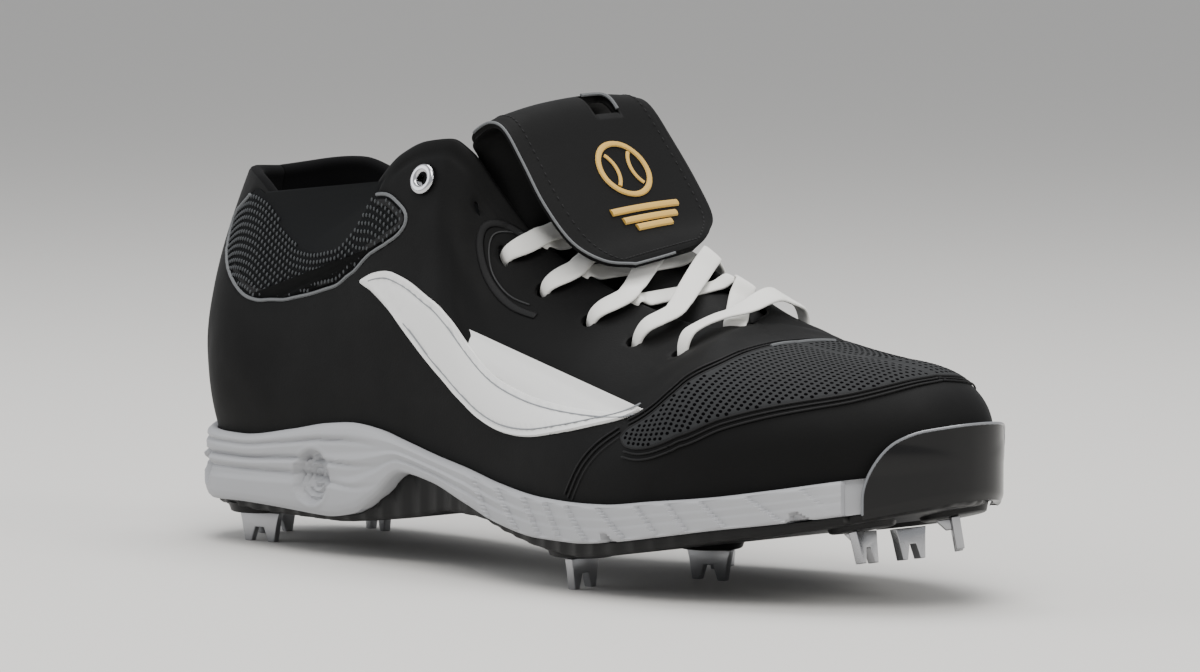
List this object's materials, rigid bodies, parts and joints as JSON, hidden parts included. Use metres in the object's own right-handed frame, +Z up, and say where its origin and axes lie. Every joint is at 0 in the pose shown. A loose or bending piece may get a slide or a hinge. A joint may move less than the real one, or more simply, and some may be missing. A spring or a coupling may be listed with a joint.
{
  "type": "baseball cleat",
  "caption": "Low-cut baseball cleat for the right foot, with hollow upper, folded tongue flap, flat laces, foam midsole and metal spikes.",
  "frame": {"origin": "bottom centre of the whole shoe, on the ground under the spike tips", "axes": "+X from heel to toe, +Y to the inner (medial) side of the foot, +Z up"},
  "size_m": [0.302, 0.1046, 0.1374],
  "materials": {
    "upper": "matte black synthetic leather with sunk mesh panels",
    "midsole": "satin light grey moulded foam",
    "outsole": "satin black moulded plate",
    "toe_guard": "glossy black moulded guard",
    "insole": "black knit over foam",
    "tongue": "matte black synthetic nubuck with grey piping",
    "laces": "flat woven white lace",
    "grommet": "bright plated metal",
    "spikes": "satin forged steel"
  },
  "bodies": {
    "root": {"upper": "upper", "midsole": "midsole", "outsole": "outsole", "toe_guard": "toe_guard", "insole": "insole", "tongue": "tongue", "laces": "laces", "grommet_lateral": "grommet", "grommet_medial": "grommet", "spike_heel_lateral": "spikes", "spike_heel_medial": "spikes", "spike_heel_back": "spikes", "spike_ball_lateral": "spikes", "spike_ball_centre": "spikes", "spike_ball_medial": "spikes", "spike_toe_lateral": "spikes", "spike_toe_medial": "spikes", "spike_toe_front": "spikes"}
  },
  "joints": []
}
